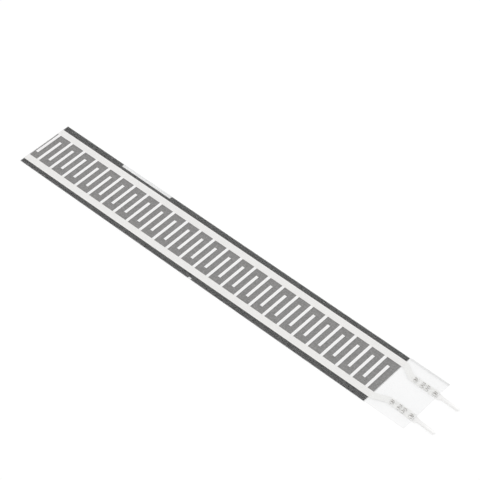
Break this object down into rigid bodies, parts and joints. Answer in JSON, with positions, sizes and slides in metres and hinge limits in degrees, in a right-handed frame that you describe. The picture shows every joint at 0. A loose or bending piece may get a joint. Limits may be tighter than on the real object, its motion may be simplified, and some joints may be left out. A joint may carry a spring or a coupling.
{
  "type": "force sensing resistor",
  "caption": "Long thin-film force sensing strip with interleaved silver combs, a clear tail and two crimped pin terminals.",
  "frame": {"origin": "centre of the part's box, on the face that the strip lies on", "axes": "+X along the strip towards the pins, +Z out of the sensing face, +Y across the strip"},
  "size_m": [0.1164, 0.015, 0.0007],
  "materials": {
    "clear_film": "clear glossy polyester film",
    "adhesive": "clear pressure-sensitive adhesive",
    "carbon_ink": "matt grey carbon ink",
    "silver_ink": "pale matt silver ink",
    "tinned_metal": "bright tin plating"
  },
  "bodies": {
    "root": {"base_film": "clear_film", "carbon_layer": "carbon_ink", "spacer_upper": "adhesive", "spacer_lower": "adhesive", "silver_comb_upper": "silver_ink", "silver_comb_lower": "silver_ink", "electrode_film": "clear_film", "terminal_upper": "tinned_metal", "terminal_lower": "tinned_metal"}
  },
  "joints": []
}
